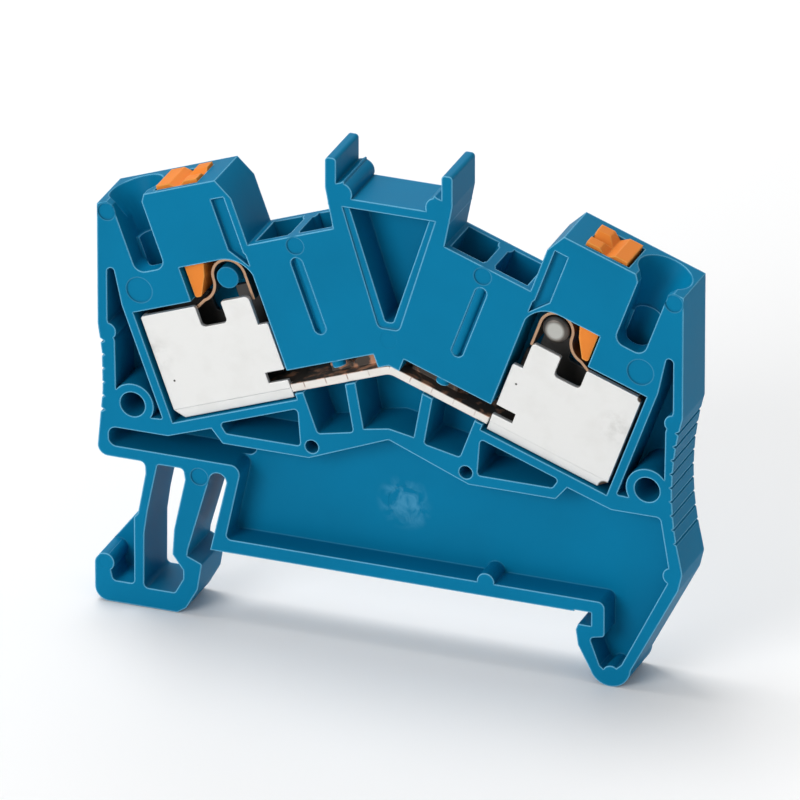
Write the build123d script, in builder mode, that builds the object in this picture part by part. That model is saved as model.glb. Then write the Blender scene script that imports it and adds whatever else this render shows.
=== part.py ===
"""Feed-through terminal block: a push-in block that clips on a 35 mm rail.

X runs across the rail, from the sprung latch foot (-X) to the fixed hook (+X).
Y is the thickness: the moulding is open towards -Y and closed at +Y.
The origin is the middle of the rail seat, on the underside of the base beam.
Each tower leans outward, so its shapes are drawn in a leaning frame (u, v):
u runs outward from the middle, v runs up the tower.
"""

import os
from math import cos, radians, sin

from build123d import *

# Overall size
thickness = 5.2
back_wall = 1.0
front_wall = 0.6
lean = 20.0
apex_height = 19.4
outer_wall_x = 25.6
outer_wall = 0.85
draft_gap = 0.1
corner_radius = 0.3

# Rail seat and fixed hook
rail_flange = 1.0
flange_gap = 0.12
beam_height = 1.2
hook_slot_x = 17.75
hook_nose_x = 16.4
hook_relief = 0.12
hook_bottom = -6.3
hook_tip_x = 19.3

# Latch foot on its two sprung legs
seat_end_x = -15.75
latch_tip_x = -16.5
latch_catch = -1.5
foot_left = -26.0
foot_bottom = -6.25
foot_radius = 1.2
shelf_wall = 1.0
shelf_step = 1.05
shelf_overhang = 0.15
spring_slot_drop = 0.45
leg_slot_inner = -18.1
leg_slot_outer = -20.4
leg_slot_bottom = -4.5
lever_recess_x = -24.3
lever_end_x = -25.1
lever_end_z = -2.75
lever_end_radius = 0.8

# Thumb grips
grip_top = 19.0
grip_low = 6.2
grip_depth = 0.9
tooth_radius = 0.32
tooth_pitch = 1.25
left_teeth = 6
right_teeth = 9
left_tooth_low = 11.2
right_tooth_low = 7.6

# Tower, in the leaning frame
chamber_inner = 9.05
chamber_outer = 20.75
chamber_floor = -1.38
chamber_top = 8.68
window_top = 11.75
window_outer = 15.3
shaft_top = 12.55
tower_top = 18.55
tower_inner = 8.57
tower_outer = 20.48
tower_chamfer = 0.9
rib = 0.75
floor_wall = 0.78

# Conductor funnel
funnel_inner = 16.5
funnel_width = 2.7
funnel_floor = 11.95
funnel_shelf = 14.3
funnel_y = -0.15
funnel_mouth_radius = 2.35
funnel_mouth_depth = 2.6
funnel_lip = 0.4
funnel_corner = 0.85
wire_radius = 1.15

# Bridge shafts
shaft_inner = 1.0
shaft_outer = 8.05
shaft_rib = 0.8
shaft_floor = 1.0
shaft_back_wall = 0.55
shaft_boss_radius = 0.7
shaft_groove_width = 1.05
shaft_groove_low = 3.8
shaft_groove_high = 10.7
groove_depth = 0.5
side_groove_outer = 10.4
side_groove_inner = 9.2
side_groove_top = 17.0
side_groove_bend = 12.4
side_groove_end = 10.7

# Current bar and the channel above it
bar_thickness = 0.75
bar_width = 3.9
bar_reach = 9.3
bar_ridge_radius = 1.1
bar_channel_height = 1.27
bar_channel_inner = 0.95
bar_tongue_reach = 15.5
bar_tongue_width = 2.7
tab_height = 0.85
tab_width = 2.0
tab_inner = 1.6
tab_outer = 5.8
tab_notch = 0.5

# Deck under the clamps: drops are measured down from the ridge of the bar
cell_rib_drop = 6.5
cell_rib_x = 3.1
cell_rib_u = 4.3
middle_cell_drop = 5.65
middle_cell_side_drop = 6.05
middle_cell_x = 2.2
pocket_drop = 8.55
pocket_inner_x = 7.75
pocket_outer_x = 14.3
pin_hole_x = 6.75
pin_hole_drop = 8.45
pin_hole_radius = 0.58
deck_ridge_drop = 6.65
deck_drop = 9.5
deck_bend_x = 7.0
deck_outer_drop = 9.65
deck_outer_x = 19.45

# Marker carrier
marker_top = 37.3
marker_wall = 0.95
marker_half_width = 5.55
marker_shoulder = 34.6
marker_tip_radius = 0.3
marker_floor = 33.9
marker_plate = 0.8
marker_ledge = 0.7
marker_ledge_height = 1.1
marker_lip = 0.45
marker_boss_radius = 0.95
hollow_half_width = 3.5
hollow_tip = 23.3
hollow_tip_half_width = 0.35
hollow_rim = 0.55
hollow_rim_depth = 0.15

# Base panel, a web between the walls
web_front = -0.1
web_back = 1.1
hollow_y = 0.6
panel_left_x = -14.4
panel_slant = 1.45
panel_boss = 0.75
panel_radius = 0.4
deck_slot_width = 1.7
deck_slot_left = -24.7
deck_slot_right = -12.6

# Clamp cage, folded from sheet
sheet = 0.45
cage_front = -2.3
cage_side_gap = 0.35
cage_top = 8.1
cage_step_height = 5.5
cage_step = 0.9
cage_corner = 0.75
cage_fold_radius = 0.2
cage_flap_depth = 0.1
cage_flap_height = 0.85
notch_inner = 12.9
notch_outer = 15.3
notch_floor = 6.2
bar_notch_low = 0.35
bar_notch_height = 0.95
bar_notch_length = 1.8

# Clamp spring, a leaf looped round its pin
loop_u = 11.6
loop_v = 9.95
leaf = 0.28
leaf_radius = 1.45
leaf_width = 2.6
leaf_y = -1.8
leaf_leg = 2.4
leaf_reach = 18.6
leaf_end = 6.0
boss_radius = 0.95
steel_pin_radius = 1.2
pin_chamfer = 0.3
pin_shank_radius = 0.57
pin_shank_length = 0.6
pin_recess = 0.5

# Push button
button_width = 3.8
button_depth = 3.55
button_top = 18.85
button_shoulder = 13.2
button_gap = 0.12
button_groove = 0.55
button_groove_width = 1.4
tip_width = 1.45
tip_root_width = 1.95
tip_end = 8.75
tip_end_width = 0.55
tip_slope = 1.7
tip_depth = 3.0
tip_setback = 0.65

# Peg sockets and mould marks
peg_x = 22.55
peg_drop = 7.3
peg_radius = 1.1
peg_ring = 1.85
wall_boss = 0.75
mark_depth = 0.12
mark_radius = 0.75
tower_mark_x = 24.75
tower_mark_z = 29.2
shaft_mark_u = 4.45
shaft_mark_v = 11.7
funnel_mark_x = 21.9
funnel_mark_z = 22.6
leg_mark_x = -16.7
leg_mark_drop = 12.9

front = -thickness / 2
back = thickness / 2
floor_y = back - back_wall
whole_depth = floor_y - front
funnel_outer = funnel_inner + funnel_width
deck_slot_top = apex_height - deck_outer_drop
deck_slot_bottom = deck_slot_top - deck_slot_width
shelf_height = deck_slot_bottom - shelf_wall
spring_slot_top = shelf_height - spring_slot_drop
lean_cos = cos(radians(lean))
lean_sin = sin(radians(lean))


def tower_point(u, v, side=1):
    """Point (x, z) of the block for a point (u, v) of a tower."""
    return (side * (u * lean_cos + v * lean_sin), apex_height + v * lean_cos - u * lean_sin)


def below_ridge(x, drop):
    """Point at x, a given drop below the ridge of the current bar."""
    return (x, apex_height - drop)


def face_plane(y):
    """Plane at depth y, seen from the open side, with +Z up."""
    return Plane.XZ.offset(-y)


def tower_plane(y, side=1):
    """Leaning plane at depth y whose axes are u and v."""
    return Plane(
        origin=(0, y, apex_height),
        x_dir=(lean_cos, 0, -side * lean_sin),
        z_dir=(0, -1, 0),
    )


def rounded_outline(*corners):
    """Closed line through (point, radius) corners."""
    points = [point for point, radius in corners]
    radii = [radius for point, radius in corners]
    FilletPolyline(*points, radius=radii, close=True)


def mirrored(part):
    """The same solid for the other tower."""
    return mirror(part, about=Plane.YZ)


# Cores of the right tower, cut from the moulding on both sides
funnel_u = (funnel_inner + funnel_outer) / 2
shaft_middle = (shaft_inner + shaft_outer) / 2
shaft_width = (shaft_outer - shaft_inner - shaft_rib) / 2
with BuildPart() as tower_core:
    # Clamp chamber with the window round the spring loop
    with BuildSketch(tower_plane(floor_y)):
        with BuildLine():
            Polyline(
                (chamber_inner, loop_v),
                (chamber_inner, chamber_floor),
                (chamber_outer, chamber_floor),
                (chamber_outer, chamber_top),
                (window_outer, chamber_top),
                (window_outer, window_top),
                (loop_u, window_top),
            )
            RadiusArc(
                (loop_u, window_top),
                (chamber_inner, loop_v),
                -(loop_u - chamber_inner),
            )
        make_face()
    extrude(amount=whole_depth)
    # Channel that guides the push button
    with BuildSketch(tower_plane(floor_y)):
        with Locations((window_outer - button_width / 2 - button_gap, window_top - 1)):
            Rectangle(
                button_width + 2 * button_gap,
                tower_top - window_top + 2,
                align=(Align.CENTER, Align.MIN),
            )
    extrude(amount=button_depth + 2 * button_gap)
    # Conductor funnel, open to the front down to its shelf
    with BuildSketch(tower_plane(0)):
        with BuildLine():
            rounded_outline(
                ((funnel_inner - funnel_lip, tower_top + 1), 0),
                ((funnel_inner - funnel_lip, tower_top), 0),
                ((funnel_inner, tower_top - 1.5 * funnel_lip), 0),
                ((funnel_inner, funnel_shelf), 0),
                ((funnel_outer, funnel_shelf), 0),
                ((funnel_outer, tower_top - funnel_lip), 0),
                ((funnel_outer + funnel_lip, tower_top), 0),
                ((funnel_outer + funnel_lip, tower_top + 1), 0),
            )
        make_face()
    extrude(amount=-front)
    # Lower part of the funnel, shallower and with round corners
    with BuildSketch(tower_plane(-wire_radius / 2)):
        with BuildLine():
            rounded_outline(
                ((funnel_inner, funnel_shelf + 1), 0),
                ((funnel_inner, funnel_floor), funnel_corner),
                ((funnel_outer, funnel_floor), funnel_corner),
                ((funnel_outer, funnel_shelf + 1), 0),
            )
        make_face()
    extrude(amount=-front - wire_radius / 2)
    # Bridge shafts, behind the front plate
    with BuildSketch(tower_plane(back - shaft_back_wall)):
        for start in (shaft_inner, shaft_outer - shaft_width):
            with Locations((start, shaft_floor)):
                Rectangle(shaft_width, shaft_top + 3, align=(Align.MIN, Align.MIN))
    extrude(amount=thickness - shaft_back_wall - front_wall)
    # Channel of the current bar
    with BuildSketch(tower_plane(floor_y)):
        with Locations((bar_channel_inner, -bar_thickness - draft_gap)):
            Rectangle(
                chamber_inner,
                bar_thickness + draft_gap + bar_channel_height,
                align=(Align.MIN, Align.MIN),
            )
    extrude(amount=whole_depth)
    # Long groove over the rib between the shafts
    with BuildSketch(tower_plane(front)):
        with Locations((shaft_middle + 0.3, (shaft_groove_low + shaft_groove_high) / 2)):
            SlotOverall(
                shaft_groove_high - shaft_groove_low,
                shaft_groove_width,
                rotation=90,
            )
    extrude(amount=-groove_depth)
    # Narrow groove between the button channel and the shafts
    with BuildSketch(tower_plane(front)):
        with BuildLine():
            Polyline(
                (side_groove_inner, side_groove_top),
                (side_groove_outer, side_groove_top),
                (side_groove_outer, side_groove_bend),
                (chamber_inner, side_groove_end),
                (chamber_inner, side_groove_end + 1),
                (side_groove_inner, side_groove_bend - 0.4),
                close=True,
            )
        make_face()
    extrude(amount=-groove_depth)

# Round bores of the funnel, along the tower
with BuildPart() as funnel_core:
    mouth_x, mouth_z = tower_point(funnel_u, tower_top)
    bore_plane = Plane(
        origin=(mouth_x, funnel_y, mouth_z),
        x_dir=(lean_cos, 0, -lean_sin),
        z_dir=(lean_sin, 0, lean_cos),
    )
    with BuildSketch(bore_plane):
        Circle(funnel_mouth_radius)
    with BuildSketch(bore_plane.offset(-funnel_mouth_depth)):
        Circle(funnel_width / 2)
    loft()
    with BuildSketch(bore_plane.offset(0.5)):
        Circle(funnel_width / 2)
    extrude(amount=-(tower_top - funnel_shelf) - 0.5)
    with BuildSketch(bore_plane):
        Circle(wire_radius)
    extrude(amount=-(tower_top - chamber_top) - 0.5)

# Round bosses where the rib between the shafts meets its two walls
with BuildPart() as shaft_boss:
    boss_x, boss_z = tower_point(shaft_middle, shaft_floor - 0.3)
    boss_plane = Plane(
        origin=(boss_x, 0, boss_z),
        x_dir=(lean_cos, 0, -lean_sin),
        z_dir=(lean_sin, 0, lean_cos),
    )
    with BuildSketch(boss_plane):
        for y, radius in (
            (back - shaft_boss_radius, shaft_boss_radius),
            (front + front_wall, 0.8 * shaft_boss_radius),
        ):
            with Locations((0, y)):
                Circle(radius)
    extrude(amount=shaft_top - shaft_floor + 0.3)

# Cells under the current bar and the pockets beside the chamber
with BuildPart() as cell_core:
    with BuildSketch(face_plane(floor_y)):
        # Cell between the two ribs under the bar
        with BuildLine():
            rounded_outline(
                (tower_point(cell_rib_u, -0.4), 0),
                (tower_point(chamber_inner - rib, -0.4), 0),
                (tower_point(chamber_inner - rib, -4.6), corner_radius),
                (below_ridge(cell_rib_x, cell_rib_drop), corner_radius),
            )
        make_face()
        # Triangular pocket under the chamber floor
        with BuildLine():
            rounded_outline(
                (tower_point(chamber_inner + 0.25, chamber_floor - floor_wall), corner_radius),
                (tower_point(16.6, chamber_floor - floor_wall), corner_radius),
                (below_ridge(pocket_outer_x, pocket_drop), corner_radius),
                (below_ridge(pocket_inner_x, pocket_drop), corner_radius),
            )
        make_face()
        # Outer pocket, which runs round the peg ring
        wall_inside = outer_wall_x - outer_wall
        with BuildLine():
            rounded_outline(
                (tower_point(chamber_outer + rib, -0.9), 0.15),
                (tower_point(chamber_outer + rib, 9.5), 0),
                (below_ridge(wall_inside - 0.55, -5.0), corner_radius),
                (below_ridge(wall_inside, -4.6), corner_radius),
                (below_ridge(wall_inside, 0), corner_radius),
                (below_ridge(wall_inside - 0.65, 1.8), corner_radius),
                (below_ridge(wall_inside - 0.75, 8.4), 0),
            )
        make_face()
        with Locations(below_ridge(peg_x, peg_drop)):
            Circle(peg_ring, mode=Mode.SUBTRACT)
        with Locations(below_ridge(wall_inside, 1.0)):
            Circle(wall_boss, mode=Mode.SUBTRACT)
        with Locations(below_ridge(peg_x + 1.3, peg_drop + 1.2)):
            Rectangle(2.4, 2.4, mode=Mode.SUBTRACT)
        with Locations(below_ridge(peg_x, peg_drop)):
            Circle(peg_radius)
        with Locations(below_ridge(pin_hole_x, pin_hole_drop)):
            Circle(pin_hole_radius)
    extrude(amount=whole_depth)

# Half of the marker carrier's ledge, with its boss and pointed lip
marker_inside = marker_half_width - marker_wall
with BuildPart() as marker_half:
    with BuildSketch(face_plane(back)):
        with BuildLine():
            rounded_outline(
                ((marker_inside + marker_ledge, marker_floor - marker_plate), 0),
                ((marker_inside + marker_ledge, marker_floor + marker_ledge_height), 0),
                ((marker_inside - 0.1, marker_floor + marker_ledge_height), 0.1),
                (
                    (
                        marker_inside - marker_ledge,
                        marker_floor + marker_ledge_height + marker_lip,
                    ),
                    0.08,
                ),
                ((marker_inside - marker_ledge, marker_floor - marker_plate), 0),
            )
        make_face()
        with Locations((marker_inside - marker_ledge + 0.25, marker_floor + 0.35)):
            Circle(marker_boss_radius)
    extrude(amount=thickness)

# Housing: one moulding with walls, ribs, hook and latch foot
with BuildPart() as housing:
    with BuildSketch(face_plane(back)):
        with BuildLine():
            # Over the top, from the left grip to the right one
            top_points = [
                ((-outer_wall_x, grip_top), 0),
                (tower_point(tower_outer, tower_top, -1), 0),
                (tower_point(tower_inner + tower_chamfer, tower_top, -1), 0),
                (tower_point(tower_inner, tower_top - 2 * tower_chamfer, -1), 0),
                (tower_point(tower_inner, shaft_top, -1), 0),
                (tower_point(0.6, shaft_top, -1), 0),
                ((-marker_half_width, marker_shoulder), 0.8),
                ((-marker_half_width, marker_top), marker_tip_radius),
                ((-marker_inside, marker_top), marker_tip_radius),
                ((-marker_inside, marker_floor), 0),
            ]
            top_line = top_points + [((-x, z), radius) for (x, z), radius in reversed(top_points)]
            FilletPolyline(
                *[point for point, radius in top_line],
                radius=[radius for point, radius in top_line[1:-1]],
            )
            # Concave thumb grip above the hook, down to the hook's outer side
            grip_end = (outer_wall_x - 0.2, grip_low)
            grip_middle = (outer_wall_x - grip_depth, (grip_top + grip_low) / 2)
            ThreePointArc((outer_wall_x, grip_top), grip_middle, grip_end)
            FilletPolyline(
                grip_end,
                (outer_wall_x + 0.05, grip_low - 1.3),
                (outer_wall_x - 0.3, grip_low - 2.8),
                (21.2, -4.6),
                radius=(0.6, 0.6),
            )
            # Fixed hook with its round tip and the slot for the flange
            ThreePointArc((21.2, -4.6), (hook_tip_x, hook_bottom), (17.7, -5.1))
            slot_floor = -rail_flange - flange_gap
            FilletPolyline(
                (17.7, -5.1),
                (16.6, -3.0),
                (hook_nose_x, slot_floor - 0.5),
                (hook_nose_x + 0.2, slot_floor),
                (hook_slot_x, slot_floor),
                (hook_slot_x, hook_relief),
                (hook_nose_x - 0.15, hook_relief),
                (hook_nose_x - 0.15, 0),
                (seat_end_x, 0),
                (seat_end_x + 1.45, spring_slot_top - corner_radius),
                radius=(0, corner_radius, 0, 0, 0, 0, 0, 0),
            )
            # Round end of the slot behind the sprung leg
            ThreePointArc(
                (seat_end_x + 1.45, spring_slot_top - corner_radius),
                (seat_end_x + 0.8, spring_slot_top + 0.5),
                (seat_end_x - 0.05, spring_slot_top - 0.1),
            )
            FilletPolyline(
                (seat_end_x - 0.05, spring_slot_top - 0.1),
                (-17.75, -0.4),
                (-17.8, -0.95),
                (latch_tip_x, latch_catch),
                (latch_tip_x - 0.4, -3.9),
                (latch_tip_x - 1.4, -5.7),
                (latch_tip_x - 2.2, foot_bottom),
                (foot_left, foot_bottom),
                (foot_left, lever_end_z + 0.15),
                (-23.4, 0.8),
                (-22.15, 2.2),
                (-21.45, shelf_height - shelf_step),
                (-21.5, shelf_height),
                (-outer_wall_x - shelf_overhang, shelf_height),
                (0.2 - outer_wall_x, 10.9),
                (0.4 - outer_wall_x, 13.0),
                (0.35 - outer_wall_x, 16.5),
                (-outer_wall_x, grip_top),
                radius=(0, 0, 0.2, 0, 0, 0.4, foot_radius, 0.7, 0, 0, 0, 0.5, 0.9, 0, 0, 0),
            )
        make_face()
    extrude(amount=thickness)

    for core in (tower_core, funnel_core, cell_core):
        add(core.part, mode=Mode.SUBTRACT)
        add(mirrored(core.part), mode=Mode.SUBTRACT)
    for boss in (shaft_boss, marker_half):
        add(boss.part)
        add(mirrored(boss.part))

    # Middle cell under the ridge of the bar
    with BuildSketch(face_plane(floor_y)):
        with BuildLine():
            Polyline(
                tower_point(3.35, -0.4, -1),
                below_ridge(0, 0.5),
                tower_point(3.35, -0.4),
                below_ridge(middle_cell_x, middle_cell_side_drop),
                below_ridge(0, middle_cell_drop),
                below_ridge(-middle_cell_x, middle_cell_side_drop),
                close=True,
            )
        make_face()
        # Seat of the bar's ridge
        with BuildLine():
            Polyline(
                tower_point(1.6, -0.45, -1),
                tower_point(1.6, 0.05, -1),
                below_ridge(0, -0.08),
                tower_point(1.6, 0.05),
                tower_point(1.6, -0.45),
                close=True,
            )
        make_face()
    extrude(amount=whole_depth, mode=Mode.SUBTRACT)

    # Hollow under the marker carrier, inside a rim set a little lower
    hollow_top = marker_floor - marker_plate
    with BuildSketch(face_plane(front)):
        with BuildLine():
            rounded_outline(
                ((-hollow_half_width - hollow_rim, hollow_top), 0),
                ((hollow_half_width + hollow_rim, hollow_top), 0),
                ((hollow_tip_half_width + hollow_rim, hollow_tip - hollow_rim), 0.5),
                ((-hollow_tip_half_width - hollow_rim, hollow_tip - hollow_rim), 0.5),
            )
        make_face()
    extrude(amount=-hollow_rim_depth, mode=Mode.SUBTRACT)
    with BuildSketch(face_plane(hollow_y)):
        with BuildLine():
            rounded_outline(
                ((-hollow_half_width, hollow_top), 0),
                ((hollow_half_width, hollow_top), 0),
                ((hollow_tip_half_width, hollow_tip), corner_radius),
                ((-hollow_tip_half_width, hollow_tip), corner_radius),
            )
        make_face()
    extrude(amount=hollow_y - front, mode=Mode.SUBTRACT)

    # Base panel: a web between the walls, recessed from both faces
    with BuildSketch(face_plane(web_front)):
        with BuildLine():
            rounded_outline(
                (below_ridge(-deck_outer_x, deck_outer_drop), 0),
                (below_ridge(-15.6, 8.3), 0),
                (below_ridge(-14.6, deck_drop), 0),
                (below_ridge(-deck_bend_x, deck_drop), 0),
                (below_ridge(0, deck_ridge_drop), panel_radius),
                (below_ridge(deck_bend_x, deck_drop), 0),
                (below_ridge(14.6, deck_drop), 0),
                (below_ridge(15.6, 8.3), 0),
                (below_ridge(deck_outer_x, deck_outer_drop), 0),
                (below_ridge(23.7, deck_outer_drop), panel_radius),
                ((24.3, 6.2), 0),
                ((24.6, 4.4), panel_radius),
                ((20.4, -4.2), 0),
                ((19.3, -5.2), panel_radius),
                ((18.5, -4.6), 0),
                ((17.6, -2.2), corner_radius),
                ((18.9, -1.9), corner_radius),
                ((18.9, beam_height), 0.6),
                ((panel_left_x, beam_height), panel_radius),
                ((panel_left_x + panel_slant, deck_slot_bottom), 0.8),
                ((-deck_outer_x, deck_slot_bottom), 0),
            )
        make_face()
        with Locations((8.5, beam_height + 0.1), (24.7, 4.6), (hook_tip_x + 0.2, -5.2)):
            Circle(panel_boss, mode=Mode.SUBTRACT)
    extrude(amount=web_front - front, mode=Mode.SUBTRACT)
    with BuildSketch(face_plane(web_back)):
        with BuildLine():
            Polyline(
                below_ridge(-12.6, 12.2),
                below_ridge(-deck_bend_x, 9.9),
                below_ridge(0, 7.1),
                below_ridge(deck_bend_x, 9.9),
                below_ridge(23.4, 10.1),
                (24.0, 6.2),
                (24.3, 4.4),
                (20.4, -3.6),
                (19.4, -4.4),
                (19.3, beam_height + 0.3),
                (panel_left_x + 0.4, beam_height + 0.3),
                close=True,
            )
        make_face()
    extrude(amount=web_back - back, mode=Mode.SUBTRACT)

    # Long slot above the latch foot
    with BuildSketch(face_plane(floor_y)):
        with Locations(
            ((deck_slot_left + deck_slot_right) / 2, (deck_slot_bottom + deck_slot_top) / 2)
        ):
            RectangleRounded(
                deck_slot_right - deck_slot_left,
                deck_slot_width,
                0.4 * deck_slot_width,
            )
    extrude(amount=whole_depth, mode=Mode.SUBTRACT)

    # Through slot between the two legs of the latch
    with BuildSketch(face_plane(back)):
        with BuildLine():
            rounded_outline(
                ((leg_slot_outer, shelf_height - 0.05), 0.25),
                ((leg_slot_inner, shelf_height - 0.05), 0.4),
                ((leg_slot_inner + 0.15, shelf_height - shelf_step), 0),
                ((-18.95, 1.3), 0),
                ((-19.1, -1.0), 0),
                ((-18.15, -2.3), 0.3),
                ((-18.15, -3.1), 0),
                ((-18.9, leg_slot_bottom), 0.3),
                ((-21.65, leg_slot_bottom), 0.4),
                ((-21.6, 0.5), 0),
                ((-21.3, 2.6), 0),
            )
        make_face()
    extrude(amount=thickness, mode=Mode.SUBTRACT)

    # Recess beside the release lever of the foot
    with BuildSketch(face_plane(hollow_y)):
        with BuildLine():
            rounded_outline(
                ((-22.5, 3.2), 0),
                ((-22.5, -4.3), 0.35),
                ((lever_recess_x - 0.1, -4.3), 0.4),
                ((lever_recess_x - 0.3, -3.4), 0),
                ((lever_recess_x, lever_end_z), 0),
                ((lever_recess_x - 0.5, -2.0), 0),
                ((foot_left - 0.6, -2.0), 0),
                ((foot_left - 0.6, 3.2), 0),
            )
        make_face()
        with Locations((lever_end_x, lever_end_z)):
            Circle(lever_end_radius, mode=Mode.SUBTRACT)
    extrude(amount=hollow_y - front, mode=Mode.SUBTRACT)

    # Grip teeth on both outer walls
    with BuildSketch(face_plane(back)):
        for row in range(left_teeth):
            with Locations((0.28 - outer_wall_x, left_tooth_low + row * tooth_pitch)):
                RegularPolygon(tooth_radius, 3, rotation=0)
        for row in range(right_teeth):
            tooth_z = right_tooth_low + row * tooth_pitch
            tooth_x = outer_wall_x - grip_depth + 0.1 + 0.75 * ((tooth_z - 12.4) / 6.4) ** 2
            with Locations((tooth_x, tooth_z)):
                RegularPolygon(tooth_radius, 3, rotation=180)
    extrude(amount=thickness, mode=Mode.SUBTRACT)

    # Shallow round marks of the mould's ejector pins
    with BuildSketch(face_plane(front)):
        with Locations(
            (-tower_mark_x, tower_mark_z),
            (tower_mark_x, tower_mark_z),
            tower_point(shaft_mark_u, shaft_mark_v, -1),
            tower_point(shaft_mark_u, shaft_mark_v),
            below_ridge(leg_mark_x, leg_mark_drop),
        ):
            Circle(mark_radius)
        with Locations((-funnel_mark_x, funnel_mark_z), (funnel_mark_x, funnel_mark_z)):
            Circle(1.5 * mark_radius)
    extrude(amount=-mark_depth, mode=Mode.SUBTRACT)

    # Boss that the left spring is looped round, moulded with the wall
    with BuildSketch(tower_plane(floor_y, -1)):
        with Locations((-loop_u, loop_v)):
            Circle(boss_radius)
    extrude(amount=whole_depth - pin_recess)

    # Socket in the back wall for the right spring's pin
    with BuildSketch(tower_plane(floor_y)):
        with Locations((loop_u, loop_v)):
            Circle(pin_shank_radius)
    extrude(amount=-pin_shank_length, mode=Mode.SUBTRACT)
housing.part.label = "housing"

# Current bar: one tinned strip, bent to a roof, with bridge contacts on top
bar_back = floor_y - draft_gap
with BuildPart() as current_bar:
    with BuildSketch(face_plane(bar_back)):
        with BuildLine():
            rounded_outline(
                (tower_point(bar_reach, 0, -1), 0),
                (below_ridge(0, 0), bar_ridge_radius + bar_thickness),
                (tower_point(bar_reach, 0), 0),
                (tower_point(bar_reach, -bar_thickness), 0),
                (below_ridge(0, bar_thickness / lean_cos), bar_ridge_radius),
                (tower_point(bar_reach, -bar_thickness, -1), 0),
            )
        make_face()
    extrude(amount=bar_width)
    for side in (-1, 1):
        # Tongue that runs into the cage
        with BuildSketch(tower_plane(bar_back - 0.5, side)):
            with Locations((side * (bar_reach + bar_tongue_reach - 1) / 2, -bar_thickness / 2)):
                Rectangle(bar_tongue_reach - bar_reach + 1, bar_thickness)
        extrude(amount=bar_tongue_width)
        # Upright contact under the bridge shafts, notched in the middle
        with BuildSketch(tower_plane(tab_width / 2 - 0.2, side)):
            with BuildLine():
                tab_middle = (tab_inner + tab_outer) / 2
                rounded_outline(
                    ((side * tab_inner, -0.2), 0),
                    ((side * tab_inner, tab_height), 0.3),
                    ((side * (tab_middle - tab_notch), tab_height), 0),
                    ((side * tab_middle, tab_height - tab_notch), 0),
                    ((side * (tab_middle + tab_notch), tab_height), 0),
                    ((side * tab_outer, tab_height), 0.3),
                    ((side * tab_outer, -0.2), 0),
                )
            make_face()
        extrude(amount=tab_width)
current_bar.part.label = "current_bar"

# Clamp cages: folded sheet, open at the top and towards the bar
cage_inner = chamber_inner + cage_side_gap
cage_outer = chamber_outer - cage_side_gap
cage_floor = -bar_thickness - draft_gap / 2 - sheet
cage_back = floor_y - draft_gap
with BuildPart() as right_cage:
    with BuildSketch(tower_plane(cage_back)):
        with BuildLine():
            rounded_outline(
                ((cage_inner, cage_floor), 0),
                ((cage_outer - cage_corner, cage_floor), 0),
                ((cage_outer, cage_floor + cage_corner), 0),
                ((cage_outer, cage_top), cage_fold_radius),
                ((notch_outer, cage_top), cage_fold_radius),
                ((notch_outer, notch_floor), 2 * cage_fold_radius),
                ((notch_inner, notch_floor), 2 * cage_fold_radius),
                ((notch_inner, cage_top), cage_fold_radius),
                ((cage_inner + cage_step, cage_top), 2 * cage_fold_radius),
                ((cage_inner + cage_step, cage_step_height), 0),
                ((cage_inner, cage_step_height), cage_fold_radius),
            )
        make_face()
    extrude(amount=cage_back - cage_front)
    # Inside of the fold
    with BuildSketch(tower_plane(cage_back - sheet)):
        with Locations((cage_inner - 1, cage_floor + sheet)):
            Rectangle(
                cage_outer - cage_inner + 1 - sheet,
                cage_top + 3,
                align=(Align.MIN, Align.MIN),
            )
    extrude(amount=cage_back - cage_front - 2 * sheet, mode=Mode.SUBTRACT)
    # Notch where the bar comes in, and the flap set back under it
    with BuildSketch(tower_plane(cage_front)):
        with Locations((cage_inner - 0.2, bar_notch_low)):
            Rectangle(bar_notch_length + 0.2, bar_notch_height, align=(Align.MIN, Align.MIN))
    extrude(amount=-sheet, mode=Mode.SUBTRACT)
    with BuildSketch(tower_plane(cage_front)):
        with Locations((cage_inner - 0.2, cage_floor - 0.2)):
            Rectangle(cage_outer, cage_flap_height + 0.2, align=(Align.MIN, Align.MIN))
    extrude(amount=-cage_flap_depth, mode=Mode.SUBTRACT)
left_cage_part = mirrored(right_cage.part)
right_cage.part.label = "right_clamp_cage"
left_cage_part.label = "left_clamp_cage"

# Clamp springs: a leaf looped round the pin, its leg under the button tip
with BuildPart() as right_spring:
    with BuildSketch(tower_plane(leaf_y + leaf_width)):
        with BuildLine():
            loop_start = (loop_u - leaf_radius, loop_v)
            loop_end = (loop_u + leaf_radius, loop_v)
            leg_bend = (loop_u + 2 * leaf_radius, tip_end - 0.45)
            Line((loop_u - leaf_radius, loop_v - leaf_leg), loop_start)
            ThreePointArc(loop_start, (loop_u, loop_v + leaf_radius), loop_end)
            TangentArc(loop_end, leg_bend, tangent=(0, -1))
            Line(leg_bend, (leaf_reach, leaf_end))
        trace(line_width=leaf)
    extrude(amount=leaf_width)
left_spring_part = mirrored(right_spring.part)
right_spring.part.label = "right_clamp_spring"
left_spring_part.label = "left_clamp_spring"

# Turned pin in the loop of the right spring
with BuildPart() as right_spring_pin:
    with BuildSketch(tower_plane(floor_y)):
        with Locations((loop_u, loop_v)):
            Circle(steel_pin_radius)
    extrude(amount=whole_depth - pin_recess)
    chamfer(right_spring_pin.edges().sort_by(Axis.Y)[0], pin_chamfer)
    with BuildSketch(tower_plane(floor_y)):
        with Locations((loop_u, loop_v)):
            Circle(pin_shank_radius - 0.02)
    extrude(amount=-pin_shank_length + 0.05)
right_spring_pin.part.label = "right_spring_pin"

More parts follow.
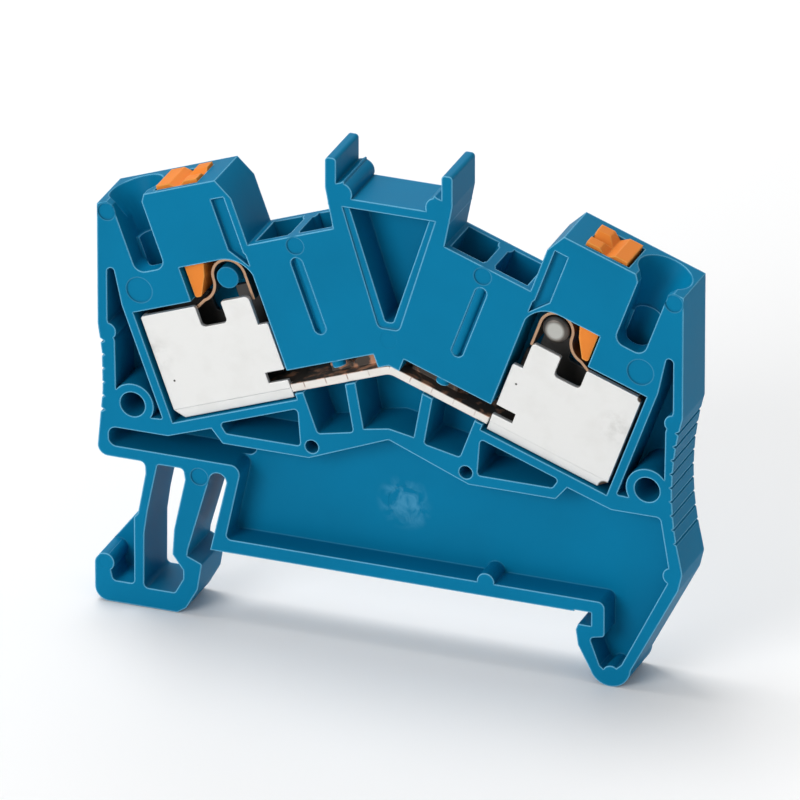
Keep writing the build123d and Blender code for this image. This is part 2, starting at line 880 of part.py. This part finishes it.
# Push buttons: a block in the channel with a wedge tip over the leaf
button_outer = window_outer - 2 * button_gap
button_middle = button_outer - button_width / 2
with BuildPart() as right_button:
    with BuildSketch(tower_plane(floor_y - button_gap)):
        with BuildLine():
            Polyline(
                (button_outer - button_width, button_top),
                (button_middle - button_groove_width / 2, button_top),
                (button_middle, button_top - button_groove),
                (button_middle + button_groove_width / 2, button_top),
                (button_outer, button_top),
                (button_outer, button_shoulder),
                (button_outer - button_width, button_shoulder),
                close=True,
            )
        make_face()
    extrude(amount=button_depth)
    with BuildSketch(tower_plane(floor_y - tip_setback)):
        with BuildLine():
            rounded_outline(
                ((button_outer - tip_root_width, button_shoulder + 0.2), 0),
                ((button_outer, button_shoulder + 0.2), 0),
                ((button_outer, tip_end), 0.2),
                ((button_outer - tip_end_width, tip_end), 0.2),
                ((button_outer - tip_width, tip_end + tip_slope), 0.4),
                ((button_outer - tip_root_width, button_shoulder - 1.0), 0.4),
            )
        make_face()
    extrude(amount=tip_depth)
    # Second groove of the cross on top, from the inner side to the middle
    groove_x, groove_z = tower_point(button_outer - button_width, button_top)
    groove_plane = Plane(
        origin=(groove_x, floor_y - button_gap - button_depth / 2, groove_z),
        x_dir=(0, 1, 0),
        z_dir=(lean_cos, 0, -lean_sin),
    )
    with BuildSketch(groove_plane):
        with BuildLine():
            Polyline(
                (-button_groove_width / 2, 0),
                (0, -button_groove),
                (button_groove_width / 2, 0),
                close=True,
            )
        make_face()
    extrude(amount=button_width / 2, mode=Mode.SUBTRACT)
left_button_part = mirrored(right_button.part)
right_button.part.label = "right_push_button"
left_button_part.label = "left_push_button"

os.makedirs("parts", exist_ok=True)
export_step(housing.part, "parts/housing.step")
export_step(current_bar.part, "parts/current_bar.step")
export_step(left_cage_part, "parts/left_clamp_cage.step")
export_step(right_cage.part, "parts/right_clamp_cage.step")
export_step(left_spring_part, "parts/left_clamp_spring.step")
export_step(right_spring.part, "parts/right_clamp_spring.step")
export_step(right_spring_pin.part, "parts/right_spring_pin.step")
export_step(left_button_part, "parts/left_push_button.step")
export_step(right_button.part, "parts/right_push_button.step")
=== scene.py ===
import math

import bmesh
import bpy
from mathutils import Matrix, Vector


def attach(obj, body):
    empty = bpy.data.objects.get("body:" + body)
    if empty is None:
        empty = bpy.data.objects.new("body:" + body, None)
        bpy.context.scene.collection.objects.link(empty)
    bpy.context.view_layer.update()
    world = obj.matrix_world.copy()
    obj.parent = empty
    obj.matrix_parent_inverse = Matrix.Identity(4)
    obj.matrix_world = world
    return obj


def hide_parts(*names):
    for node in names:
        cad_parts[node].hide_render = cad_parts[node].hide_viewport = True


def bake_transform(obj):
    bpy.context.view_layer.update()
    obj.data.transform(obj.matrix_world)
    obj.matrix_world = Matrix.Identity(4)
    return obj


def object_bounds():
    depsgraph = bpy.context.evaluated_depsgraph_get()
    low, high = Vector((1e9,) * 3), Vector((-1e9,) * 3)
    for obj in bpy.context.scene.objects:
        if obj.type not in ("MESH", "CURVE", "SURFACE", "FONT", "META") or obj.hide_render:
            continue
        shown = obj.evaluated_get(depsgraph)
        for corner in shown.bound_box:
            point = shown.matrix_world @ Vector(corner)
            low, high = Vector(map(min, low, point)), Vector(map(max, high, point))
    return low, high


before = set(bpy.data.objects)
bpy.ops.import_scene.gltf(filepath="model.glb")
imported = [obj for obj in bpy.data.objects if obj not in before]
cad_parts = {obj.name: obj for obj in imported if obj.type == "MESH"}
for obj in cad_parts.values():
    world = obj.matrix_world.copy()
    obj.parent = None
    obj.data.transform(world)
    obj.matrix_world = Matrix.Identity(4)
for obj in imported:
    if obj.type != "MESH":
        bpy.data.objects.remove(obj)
cad_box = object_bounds()

# Camera: a long lens from the open side, a little above and to the right of
# the block, so that both towers, the hook and the latch foot are seen whole.
view_azimuth = math.radians(21.0)
view_elevation = math.radians(25.5)
view_distance = 1.52
view_middle = Vector((0.0, 0.0, 0.0152))
view_width = 0.0655
film_width = 36.0
farthest_seen = 10.0

away = Vector((
    math.sin(view_azimuth) * math.cos(view_elevation),
    -math.cos(view_azimuth) * math.cos(view_elevation),
    math.sin(view_elevation),
))
lens = bpy.data.cameras.new("bench_camera")
lens.sensor_width = film_width
lens.lens = film_width * view_distance / view_width
lens.clip_end = farthest_seen
camera = bpy.data.objects.new("bench_camera", lens)
bpy.context.scene.collection.objects.link(camera)
turn = away.to_track_quat("Z", "Y").to_matrix().to_4x4()
camera.matrix_world = Matrix.Translation(view_middle + away * view_distance) @ turn
bpy.context.scene.camera = camera
bpy.context.scene.view_settings.view_transform = "Standard"

# Room: white to the camera, and an even soft grey as light, like the inside
# of a photographer's tent.
room_light = 0.40


def wire(tree, source, target):
    """Joins a node's socket to another's, or sets that one to a plain value."""
    if isinstance(source, bpy.types.NodeSocket):
        tree.links.new(source, target)
    else:
        target.default_value = source


def set_inputs(tree, node, values):
    """Feeds a node's inputs, given by name, with sockets or plain values."""
    for label, value in values.items():
        wire(tree, value, node.inputs[label])


world = bpy.data.worlds.new("studio")
world.use_nodes = True
bpy.context.scene.world = world
air = world.node_tree
rays = air.nodes.new("ShaderNodeLightPath")
level = air.nodes.new("ShaderNodeMix")
level.data_type = "FLOAT"
set_inputs(air, level, {"Factor": rays.outputs["Is Camera Ray"], "A": room_light, "B": 1.0})
set_inputs(
    air,
    air.nodes["Background"],
    {"Color": (1, 1, 1, 1), "Strength": level.outputs["Result"]},
)

# Bench: a matt white table top that only catches the block's shadow. It lies
# a hair below the feet, and it is part of the stage, not of the object.
bench_size = 2.0
bench_gap = 0.00002
bench_white = (0.93, 0.93, 0.93, 1)
bench_z = cad_box[0][2] - bench_gap


def shader(name):
    """A new material; returns it with its node tree and its Principled BSDF."""
    material = bpy.data.materials.new(name)
    material.use_nodes = True
    return material, material.node_tree, material.node_tree.nodes["Principled BSDF"]


bench_paint, tree, surface = shader("bench_paint")
set_inputs(
    tree,
    surface,
    {"Base Color": bench_white, "Roughness": 0.8, "Specular IOR Level": 0.1},
)
bench_mesh = bpy.data.meshes.new("bench")
bench_mesh.from_pydata(
    [
        (-bench_size, -bench_size, bench_z),
        (bench_size, -bench_size, bench_z),
        (bench_size, bench_size, bench_z),
        (-bench_size, bench_size, bench_z),
    ],
    [],
    [(0, 1, 2, 3)],
)
bench_mesh.materials.append(bench_paint)
bench = bpy.data.objects.new("bench", bench_mesh)
bpy.context.scene.collection.objects.link(bench)

# Lamps: three square softboxes that face the block, one above it, one in
# front on the left and one behind. Place and side in metres, power in watts.
for name, place, side, power in (
    ("top_lamp", (-0.25, 0.15, 0.9), 0.5, 4.6),
    ("front_lamp", (-0.42, -1.0, 0.42), 0.6, 6.8),
    ("back_lamp", (-0.25, 0.95, 0.45), 0.8, 2.4),
):
    lamp = bpy.data.lights.new(name, "AREA")
    lamp.size = side
    lamp.energy = power
    holder = bpy.data.objects.new(name, lamp)
    bpy.context.scene.collection.objects.link(holder)
    facing = (Vector(place) - view_middle).to_track_quat("Z", "Y").to_matrix().to_4x4()
    holder.matrix_world = Matrix.Translation(place) @ facing

# Housing: one blue polyamide moulding, injection moulded with a fine spark
# finish, its outer edges broken by the mould's small radii. Lengths in a
# mesh or a Bevel node are in metres, those of a mark in millimetres.
edge_radius = 0.00022
edge_angle = math.radians(28)
flat_limit = math.radians(0.6)
plastic_blue = (0.001, 0.168, 0.325, 1)
# The edge colour is a painted highlight on the outer edges
plastic_blue_highlight = (0.17, 0.52, 0.76, 1)
spark_strength = 0.12
spark_depth = 0.00002
smoothest = 0.38
roughest = 0.56
polyamide_ior = 1.5
polyamide_gloss = 0.045


def finished_copy(node, name, material, rounding=0.0, joined=1e-7):
    """A copy of a CAD node in its material, its points merged, its faces flat.

    With a rounding, each edge sharper than edge_angle is rounded that wide in
    the mesh, as far as its neighbours leave room; without one it stays crisp.
    Points closer than joined become one.
    """
    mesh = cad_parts[node].data.copy()
    mesh.name = name
    mesh.materials.clear()
    mesh.materials.append(material)
    work = bmesh.new()
    work.from_mesh(mesh)
    bmesh.ops.remove_doubles(work, verts=work.verts, dist=joined)
    bmesh.ops.dissolve_limit(
        work,
        angle_limit=flat_limit,
        verts=work.verts,
        edges=work.edges,
    )
    if rounding:
        bmesh.ops.bevel(
            work,
            geom=[edge for edge in work.edges if edge.calc_face_angle(0.0) > edge_angle],
            offset=rounding,
            offset_type="OFFSET",
            segments=2,
            profile=0.5,
            affect="EDGES",
            clamp_overlap=True,
            loop_slide=False,
        )
    else:
        for edge in work.edges:
            edge.smooth = edge.calc_face_angle(0.0) < edge_angle
    for face in work.faces:
        face.smooth = True
    work.to_mesh(mesh)
    work.free()
    piece = bpy.data.objects.new(name, mesh)
    bpy.context.scene.collection.objects.link(piece)
    flat = piece.modifiers.new("flat_faces", "WEIGHTED_NORMAL")
    flat.mode = "FACE_AREA"
    flat.weight = 100
    flat.keep_sharp = True
    return piece


def new_group(name, inputs, outputs):
    """A shader node group with sockets given by name and kind.

    Returns the group, the sockets that hold its inputs, and its output node.
    """
    group = bpy.data.node_groups.new(name, "ShaderNodeTree")
    for way, sockets in (("INPUT", inputs), ("OUTPUT", outputs)):
        for label, kind in sockets.items():
            group.interface.new_socket(label, in_out=way, socket_type=f"NodeSocket{kind}")
    given = group.nodes.new("NodeGroupInput")
    result = group.nodes.new("NodeGroupOutput")
    return group, given.outputs, result


def add_group(tree, group, values):
    """Places a node group in a tree with its own values; returns its node."""
    node = tree.nodes.new("ShaderNodeGroup")
    node.node_tree = group
    set_inputs(tree, node, values)
    return node


def maths(tree, operation, *values):
    """A Math node on sockets or numbers; returns its result."""
    node = tree.nodes.new("ShaderNodeMath")
    node.operation = operation
    for socket, value in zip(node.inputs, values):
        wire(tree, value, socket)
    return node.outputs["Value"]


def product(tree, *masks):
    """All the masks and numbers multiplied; returns the result."""
    result = masks[0]
    for mask in masks[1:]:
        result = maths(tree, "MULTIPLY", result, mask)
    return result


def ramp(tree, value, low, high, at_low=0.0, at_high=1.0):
    """Clamped slope: at_low at low, at_high at high; returns the result."""
    node = tree.nodes.new("ShaderNodeMapRange")
    set_inputs(
        tree,
        node,
        {
            "Value": value,
            "From Min": low,
            "From Max": high,
            "To Min": at_low,
            "To Max": at_high,
        },
    )
    return node.outputs["Result"]


def blended(tree, factor, first, second):
    """Colour between two, each a socket or a colour; returns its socket."""
    mix = tree.nodes.new("ShaderNodeMix")
    mix.data_type = "RGBA"
    set_inputs(tree, mix, {"Factor": factor, "A": first, "B": second})
    return mix.outputs["Result"]


def noise(tree, vector, scale, detail):
    """Smooth noise over a vector; returns its value between 0 and 1."""
    node = tree.nodes.new("ShaderNodeTexNoise")
    set_inputs(tree, node, {"Vector": vector, "Scale": scale, "Detail": detail})
    return node.outputs["Fac"]


def bump_node(tree, height, normal, strength, depth):
    """A Bump node over another normal, its depth in metres."""
    bump = tree.nodes.new("ShaderNodeBump")
    set_inputs(
        tree,
        bump,
        {"Strength": strength, "Distance": depth, "Height": height, "Normal": normal},
    )
    return bump


def moulded_skin_group():
    """Node group: spark-finish grain, faint flow marks and a painted highlight on outer
    edges.

    An edge gets the painted highlight where the rounded normal leaves the face's
    own normal, but not in an inner corner, where the near faces hide each other.
    """
    group, given, result = new_group(
        "moulded_skin",
        {"Colour": "Color", "Highlight Colour": "Color", "Edge Highlight Share": "Float"},
        {"Colour": "Color", "Roughness": "Float", "Height": "Float", "Normal": "Vector"},
    )
    place = group.nodes.new("ShaderNodeTexCoord").outputs["Object"]
    # Flow marks about 10 mm long, spark grain about 0.1 mm across
    flow = noise(group, place, scale=95, detail=3)
    grain = noise(group, place, scale=9000, detail=2)
    rounded = group.nodes.new("ShaderNodeBevel")
    rounded.samples = 8
    wire(group, edge_radius, rounded.inputs["Radius"])
    own = group.nodes.new("ShaderNodeNewGeometry")
    agreement = group.nodes.new("ShaderNodeVectorMath")
    agreement.operation = "DOT_PRODUCT"
    wire(group, rounded.outputs["Normal"], agreement.inputs[0])
    wire(group, own.outputs["Normal"], agreement.inputs[1])
    # Painted highlight from 7 degrees between the two normals, and full at 28
    edge = ramp(group, agreement.outputs["Value"], low=0.993, high=0.88)
    nearby = group.nodes.new("ShaderNodeAmbientOcclusion")
    nearby.samples = 4
    nearby.only_local = True
    wire(group, 2 * edge_radius, nearby.inputs["Distance"])
    outer = ramp(group, nearby.outputs["AO"], low=0.7, high=0.95)
    painted_highlight = product(group, edge, outer, given["Edge Highlight Share"])
    shade = group.nodes.new("ShaderNodeVectorMath")
    shade.operation = "SCALE"
    wire(group, given["Colour"], shade.inputs[0])
    lighter = ramp(group, flow, low=0.3, high=0.7, at_low=0.93, at_high=1.07)
    wire(group, lighter, shade.inputs["Scale"])
    set_inputs(
        group,
        result,
        {
            "Colour": blended(group, painted_highlight, shade.outputs["Vector"], given["Highlight Colour"]),
            "Roughness": ramp(group, flow, 0.0, 1.0, smoothest, roughest),
            "Height": grain,
            "Normal": rounded.outputs["Normal"],
        },
    )
    return group


moulded_skin = moulded_skin_group()


def moulded_plastic(name, colour, highlight_colour):
    """Satin moulded polyamide in one colour, its normal rounded over the edges, which get a
    painted highlight.

    Returns the material, its tree, its Principled BSDF, its skin node and its
    bump node.
    """
    material, tree, surface = shader(name)
    skin = add_group(
        tree,
        moulded_skin,
        {"Colour": colour, "Highlight Colour": highlight_colour, "Edge Highlight Share": 1.0},
    )
    bump = bump_node(
        tree, skin.outputs["Height"], skin.outputs["Normal"], spark_strength, spark_depth
    )
    set_inputs(
        tree,
        surface,
        {
            "Base Color": skin.outputs["Colour"],
            "Roughness": skin.outputs["Roughness"],
            "Normal": bump.outputs["Normal"],
            "IOR": polyamide_ior,
            "Specular IOR Level": polyamide_gloss,
        },
    )
    return material, tree, surface, skin, bump


def round_spot_group():
    """Node group: 1 inside a circle round a point of the plane, 0 outside.

    The mask is (radius - distance) / softness, held between 0 and 1.
    """
    group, given, result = new_group(
        "round_spot",
        {
            "Across": "Float",
            "Up": "Float",
            "Centre Across": "Float",
            "Centre Up": "Float",
            "Radius": "Float",
            "Softness": "Float",
        },
        {"Mask": "Float"},
    )
    point = group.nodes.new("ShaderNodeCombineXYZ")
    set_inputs(group, point, {"X": given["Across"], "Y": given["Up"]})
    centre = group.nodes.new("ShaderNodeCombineXYZ")
    set_inputs(group, centre, {"X": given["Centre Across"], "Y": given["Centre Up"]})
    reach = group.nodes.new("ShaderNodeVectorMath")
    reach.operation = "DISTANCE"
    wire(group, point.outputs["Vector"], reach.inputs[0])
    wire(group, centre.outputs["Vector"], reach.inputs[1])
    inside = maths(group, "SUBTRACT", given["Radius"], reach.outputs["Value"])
    share = maths(group, "DIVIDE", inside, given["Softness"])
    wire(group, ramp(group, share, 0.0, 1.0), result.inputs["Mask"])
    return group


def cloudy_mask_group():
    """Node group: smooth noise over the piece, 0 at Low and 1 at High."""
    group, given, result = new_group(
        "cloudy_mask",
        {
            "Scale": "Float",
            "Detail": "Float",
            "Distortion": "Float",
            "Low": "Float",
            "High": "Float",
        },
        {"Mask": "Float"},
    )
    place = group.nodes.new("ShaderNodeTexCoord")
    clouds = group.nodes.new("ShaderNodeTexNoise")
    wire(group, place.outputs["Object"], clouds.inputs["Vector"])
    for label in ("Scale", "Detail", "Distortion"):
        wire(group, given[label], clouds.inputs[label])
    mask = ramp(group, clouds.outputs["Fac"], given["Low"], given["High"])
    wire(group, mask, result.inputs["Mask"])
    return group


round_spot = round_spot_group()
cloudy_mask = cloudy_mask_group()


def add_spots(tree, across, up, softness, *spots):
    """Round spots, each a centre and a radius in millimetres, in one mask."""
    mask = 0.0
    for centre, radius in spots:
        spot = add_group(
            tree,
            round_spot,
            {
                "Across": across,
                "Up": up,
                "Centre Across": centre[0],
                "Centre Up": centre[1],
                "Radius": radius,
                "Softness": softness,
            },
        )
        mask = maths(tree, "ADD", mask, spot.outputs["Mask"])
    return mask


def add_clouds(tree, scale, detail, low, high, distortion=0.0):
    """A cloudy_mask node with its own values; returns its mask."""
    node = add_group(
        tree,
        cloudy_mask,
        {
            "Scale": scale,
            "Detail": detail,
            "Distortion": distortion,
            "Low": low,
            "High": high,
        },
    )
    return node.outputs["Mask"]


blue_polyamide, tree, surface, skin, skin_bump = moulded_plastic(
    "blue_polyamide", plastic_blue, plastic_blue_highlight
)
place = tree.nodes.new("ShaderNodeTexCoord")
millimetres = tree.nodes.new("ShaderNodeVectorMath")
millimetres.operation = "SCALE"
wire(tree, place.outputs["Object"], millimetres.inputs[0])
wire(tree, 1000, millimetres.inputs["Scale"])
split = tree.nodes.new("ShaderNodeSeparateXYZ")
wire(tree, millimetres.outputs["Vector"], split.inputs["Vector"])
across = split.outputs["X"]
up = split.outputs["Z"]
either_side = maths(tree, "ABSOLUTE", across)
front_side = ramp(tree, split.outputs["Y"], low=0.4, high=0.3)

# Gate mark and two ejector marks, too shallow to be cut in the solid, on the
# side that front_side tells from the closed back
gate_centre = (0.5, 6.0)
gate_mark = (gate_centre, 1.5)
tip_mark = ((0.0, 21.75), 0.75)
lever_mark = ((-25.1, -2.75), 0.55)
mark_softness = 0.06
mark_strength = 0.6
mark_depth = 0.00005
shallow_marks = product(
    tree,
    add_spots(tree, across, up, mark_softness, gate_mark, tip_mark, lever_mark),
    front_side,
)
mark_bump = bump_node(
    tree, shallow_marks, skin.outputs["Normal"], mark_strength, mark_depth
)
mark_bump.invert = True
wire(tree, mark_bump.outputs["Normal"], skin_bump.inputs["Normal"])

# The rims of the cut marks and of the left loop's boss stay nearly blue, as the painted
# edge highlight is mostly left off them
leg_mark = ((-16.7, 6.5), 0.95)
left_boss = ((-14.3, 24.8), 1.6)
funnel_mark = ((24.75, 29.2), 0.95)
shaft_mark = ((8.18, 28.87), 0.95)
plate_mark = ((21.9, 22.6), 1.35)
rim_softness = 0.1
rim_blueness = 0.72
rims = maths(
    tree,
    "ADD",
    add_spots(tree, across, up, rim_softness, leg_mark, left_boss),
    add_spots(tree, either_side, up, rim_softness, funnel_mark, shaft_mark, plate_mark),
)
edge_highlight_share = maths(tree, "MULTIPLY_ADD", rims, -rim_blueness, 1.0)
wire(tree, edge_highlight_share, skin.inputs["Edge Highlight Share"])

# Painted highlight: a pale swirl round the gate mark, where the melt came in
swirl_radius = 2.6
swirl_softness = 1.6
swirl_highlight_share = 0.35
swirl_highlight = product(
    tree,
    add_clouds(tree, scale=620, detail=4, low=0.42, high=0.7, distortion=1.2),
    add_spots(tree, across, up, swirl_softness, (gate_centre, swirl_radius)),
    front_side,
    swirl_highlight_share,
)
wire(
    tree,
    blended(tree, swirl_highlight, skin.outputs["Colour"], plastic_blue_highlight),
    surface.inputs["Base Color"],
)

housing_shell = finished_copy("housing", "housing_shell", blue_polyamide)
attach(housing_shell, "block")
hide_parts("housing")

# Push buttons: orange polyamide, each a sliding fit in its channel, with the
# wedge tip that opens the clamp. Their closest points are joined before the
# edges are rounded.
plastic_orange = (0.79, 0.235, 0.038, 1)
# The edge colour is a painted highlight on the buttons' outer edges
plastic_orange_highlight = (0.88, 0.38, 0.09, 1)
button_rounding = 0.00008
button_joined = 0.000025
orange_polyamide = moulded_plastic(
    "orange_polyamide", plastic_orange, plastic_orange_highlight
)[0]
for side in ("left", "right"):
    button = finished_copy(
        f"{side}_push_button",
        f"{side}_button",
        orange_polyamide,
        button_rounding,
        button_joined,
    )
    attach(button, f"{side}_button")
    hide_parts(f"{side}_push_button")

# Clamp cages: nickel-plated sheet, blanked and folded round the clamp. Each
# front has a tiny pilot hole, shown as a spot of painted shade, and a worn
# patch, and the right one dark brown corners. Behind the front sheet the cage
# is darkened with painted shade. Places are in the leaning frame, in millimetres.
nickel_white = (0.76, 0.76, 0.745, 1)
nickel_stain = (0.62, 0.61, 0.58, 1)
dark_brown_corner = (0.045, 0.028, 0.018, 1)
corner_softness = 0.12
hole_shade_dark = (0.02, 0.02, 0.02, 1)
hole_radius = 0.12
hole_softness = 0.05
worn_grey = (0.36, 0.35, 0.32, 1)
worn_radius = 1.9
worn_softness = 1.5
worn_share = 0.55
inside_shade_dark = (0.12, 0.115, 0.11, 1)
cage_rounding = 0.00006
rolled_edge_radius = 0.00006
rolling_strength = 0.15
rolling_depth = 0.00002
lean = math.radians(20)
apex = 0.0194


def rolled_skin_group():
    """Node group: fine rolling lines and faint cloudy stains on sheet metal."""
    group, given, result = new_group(
        "rolled_skin",
        {"Colour": "Color", "Stain": "Color", "Stain Share": "Float", "Roughness": "Float"},
        {"Colour": "Color", "Roughness": "Float", "Height": "Float", "Normal": "Vector"},
    )
    place = group.nodes.new("ShaderNodeTexCoord").outputs["Object"]
    # Rolling lines 2.5 mm long and 0.17 mm apart, stains 2.4 mm across
    stretch = group.nodes.new("ShaderNodeMapping")
    set_inputs(group, stretch, {"Vector": place, "Scale": (400, 400, 6000)})
    lines = noise(group, stretch.outputs["Vector"], scale=1.0, detail=2)
    clouds = noise(group, place, scale=420, detail=4)
    stained = ramp(group, clouds, low=0.5, high=0.8, at_high=given["Stain Share"])
    spread = ramp(group, lines, low=0.0, high=1.0, at_low=-0.06, at_high=0.10)
    rounded = group.nodes.new("ShaderNodeBevel")
    wire(group, rolled_edge_radius, rounded.inputs["Radius"])
    set_inputs(
        group,
        result,
        {
            "Colour": blended(group, stained, given["Colour"], given["Stain"]),
            "Roughness": maths(group, "ADD", given["Roughness"], spread),
            "Height": lines,
            "Normal": rounded.outputs["Normal"],
        },
    )
    return group


rolled_skin = rolled_skin_group()


def rolled_metal(name, colour, stain, stain_share, roughness, metallic):
    """Plated, tinned or bare sheet.

    Returns the material, its tree, its Principled BSDF and the colour socket.
    """
    material, tree, surface = shader(name)
    skin = add_group(
        tree,
        rolled_skin,
        {
            "Colour": colour,
            "Stain": stain,
            "Stain Share": stain_share,
            "Roughness": roughness,
        },
    )
    bump = bump_node(
        tree,
        skin.outputs["Height"],
        skin.outputs["Normal"],
        rolling_strength,
        rolling_depth,
    )
    set_inputs(
        tree,
        surface,
        {
            "Base Color": skin.outputs["Colour"],
            "Roughness": skin.outputs["Roughness"],
            "Metallic": metallic,
            "Normal": bump.outputs["Normal"],
        },
    )
    return material, tree, surface, skin.outputs["Colour"]


def tower_frame_group():
    """Node group: the leaning frame's u, v and the depth y, in millimetres.

    u = |x| cos a - (z - apex) sin a and v = |x| sin a + (z - apex) cos a,
    with a the towers' lean and apex the height where both frames start.
    """
    group, _, result = new_group(
        "tower_frame", {}, {"U": "Float", "V": "Float", "Y": "Float"}
    )
    place = group.nodes.new("ShaderNodeTexCoord")
    split = group.nodes.new("ShaderNodeSeparateXYZ")
    wire(group, place.outputs["Object"], split.inputs["Vector"])
    lean_cos = 1000 * math.cos(lean)
    lean_sin = 1000 * math.sin(lean)
    across = maths(group, "ABSOLUTE", split.outputs["X"])
    rise = maths(group, "SUBTRACT", split.outputs["Z"], apex)
    low = maths(group, "MULTIPLY", rise, -lean_sin)
    high = maths(group, "MULTIPLY", rise, lean_cos)
    set_inputs(
        group,
        result,
        {
            "U": maths(group, "MULTIPLY_ADD", across, lean_cos, low),
            "V": maths(group, "MULTIPLY_ADD", across, lean_sin, high),
            "Y": maths(group, "MULTIPLY", split.outputs["Y"], 1000),
        },
    )
    return group


tower_frame = tower_frame_group()
for side, hole, worn_place, corners in (
    ("left", (19.4, 2.1), (20.4, 4.6), ()),
    ("right", (10.3, 3.9), (19.3, 4.6), (((20.25, -1.05), 0.62), ((20.35, 8.05), 0.38))),
):
    nickel, tree, surface, tint = rolled_metal(
        f"{side}_nickel_sheet",
        nickel_white,
        nickel_stain,
        stain_share=0.35,
        roughness=0.42,
        metallic=0.5,
    )
    leaning = add_group(tree, tower_frame, {}).outputs
    across = leaning["U"]
    up = leaning["V"]
    worn = product(
        tree,
        add_spots(tree, across, up, worn_softness, (worn_place, worn_radius)),
        add_clouds(tree, scale=1100, detail=3, low=0.4, high=0.75),
        worn_share,
    )
    tint = blended(tree, worn, tint, worn_grey)
    # Dark brown patches at the listed corners
    for corner in corners:
        raw = add_spots(tree, across, up, corner_softness, corner)
        tint = blended(tree, raw, tint, dark_brown_corner)
    # Behind its front sheet, which ends at y = -1.85, the cage is darkened with painted
    # shade
    inside = ramp(tree, leaning["Y"], low=-1.80, high=-1.55)
    tint = blended(tree, inside, tint, inside_shade_dark)
    # The pilot hole is not cut; it is a dark spot of painted shade
    pilot = add_spots(tree, across, up, hole_softness, (hole, hole_radius))
    tint = blended(tree, pilot, tint, hole_shade_dark)
    wire(tree, tint, surface.inputs["Base Color"])
    cage = finished_copy(f"{side}_clamp_cage", f"{side}_cage", nickel, cage_rounding)
    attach(cage, "block")
    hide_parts(f"{side}_clamp_cage")

# Current bar: a copper strip bent to a roof and tinned all over. Its top and
# the two bridge contacts on it are darkened with painted shade of the gap below
# the housing, with copper spots as painted glints, and thin brown cuts cross
# the upper half of its front edge, one each 2 mm.
tin_white = (0.77, 0.74, 0.70, 1)
tin_stain = (0.62, 0.50, 0.40, 1)
contact_shade_dark = (0.085, 0.07, 0.058, 1)
copper_glint = (0.58, 0.30, 0.18, 1)
cut_brown = (0.24, 0.12, 0.07, 1)
cut_share = 0.7
cut_pitch = 2.0
cut_width = 0.14
bar_rounding = 0.00007
tin, tree, surface, tint = rolled_metal(
    "matt_tin", tin_white, tin_stain, stain_share=0.5, roughness=0.45, metallic=0.5
)
leaning = add_group(tree, tower_frame, {}).outputs
# The strip is v = -0.75 to 0 and its front edge y = -2.4
along_pitch = maths(tree, "MODULO", leaning["U"], cut_pitch)
cut = product(
    tree,
    ramp(tree, along_pitch, low=cut_width, high=0.5 * cut_width),
    ramp(tree, leaning["Y"], low=-2.15, high=-2.25),
    ramp(tree, leaning["V"], low=-0.60, high=-0.45),
    add_clouds(tree, scale=900, detail=5, low=0.35, high=0.6),
    cut_share,
)
tint = blended(tree, cut, tint, cut_brown)
# Painted shade on the top and the contacts, with copper spots as painted glints
copper_glint_share = add_clouds(tree, scale=900, detail=5, low=0.50, high=0.62)
contact_shade_and_glints = blended(tree, copper_glint_share, contact_shade_dark, copper_glint)
on_top = ramp(tree, leaning["V"], low=-0.10, high=-0.02)
wire(tree, blended(tree, on_top, tint, contact_shade_and_glints), surface.inputs["Base Color"])
bar = finished_copy("current_bar", "tinned_bar", tin, bar_rounding)
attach(bar, "block")
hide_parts("current_bar")

# Clamp springs: spring steel strip looped round a pin, dark brown, and tan on
# its faces that look to the front.
strip_dark = (0.16, 0.13, 0.11, 1)
strip_stain = (0.10, 0.07, 0.05, 1)
front_face_tan = (0.47, 0.29, 0.18, 1)
spring_rounding = 0.00005
strip, tree, surface, tint = rolled_metal(
    "spring_strip", strip_dark, strip_stain, stain_share=0.7, roughness=0.34, metallic=0.9
)
own = tree.nodes.new("ShaderNodeNewGeometry")
own_parts = tree.nodes.new("ShaderNodeSeparateXYZ")
wire(tree, own.outputs["Normal"], own_parts.inputs["Vector"])
# Tan on the faces that look to the front, dark brown elsewhere
front_facing = ramp(tree, own_parts.outputs["Y"], low=-0.45, high=-0.8)
wire(tree, blended(tree, front_facing, tint, front_face_tan), surface.inputs["Base Color"])


for side, sign in (("left", -1), ("right", 1)):
    spring = finished_copy(
        f"{side}_clamp_spring", f"{side}_spring", strip, spring_rounding
    )
    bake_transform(spring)
    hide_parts(f"{side}_clamp_spring")

# Pin of the right spring: a turned steel pin pressed into the back wall. Its
# face has a painted highlight in the middle, painted shade in grey round that
# and dark at the rim.
steel_grey = (0.46, 0.46, 0.43, 1)
steel_stain = (0.34, 0.33, 0.31, 1)
ring_shade_grey = (0.14, 0.125, 0.11, 1)
rim_shade_dark = (0.045, 0.038, 0.032, 1)
loop_centre = (11.6, 9.95)
ring_radius = 1.2
ring_softness = 0.12
pin_highlight_radius = 0.85
pin_highlight_softness = 0.25
pin_rounding = 0.00006
steel, tree, surface, tint = rolled_metal(
    "turned_steel", steel_grey, steel_stain, stain_share=0.5, roughness=0.42, metallic=0.8
)
leaning = add_group(tree, tower_frame, {}).outputs
across = leaning["U"]
up = leaning["V"]
# Painted shade in a grey ring and a dark rim round the bright middle, a painted highlight
ring = add_spots(tree, across, up, ring_softness, (loop_centre, ring_radius))
pin_highlight = add_spots(tree, across, up, pin_highlight_softness, (loop_centre, pin_highlight_radius))
face_colour = blended(tree, pin_highlight, blended(tree, ring, rim_shade_dark, ring_shade_grey), tint)
wire(tree, face_colour, surface.inputs["Base Color"])
pin = finished_copy("right_spring_pin", "spring_pin", steel, pin_rounding)
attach(pin, "block")
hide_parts("right_spring_pin")
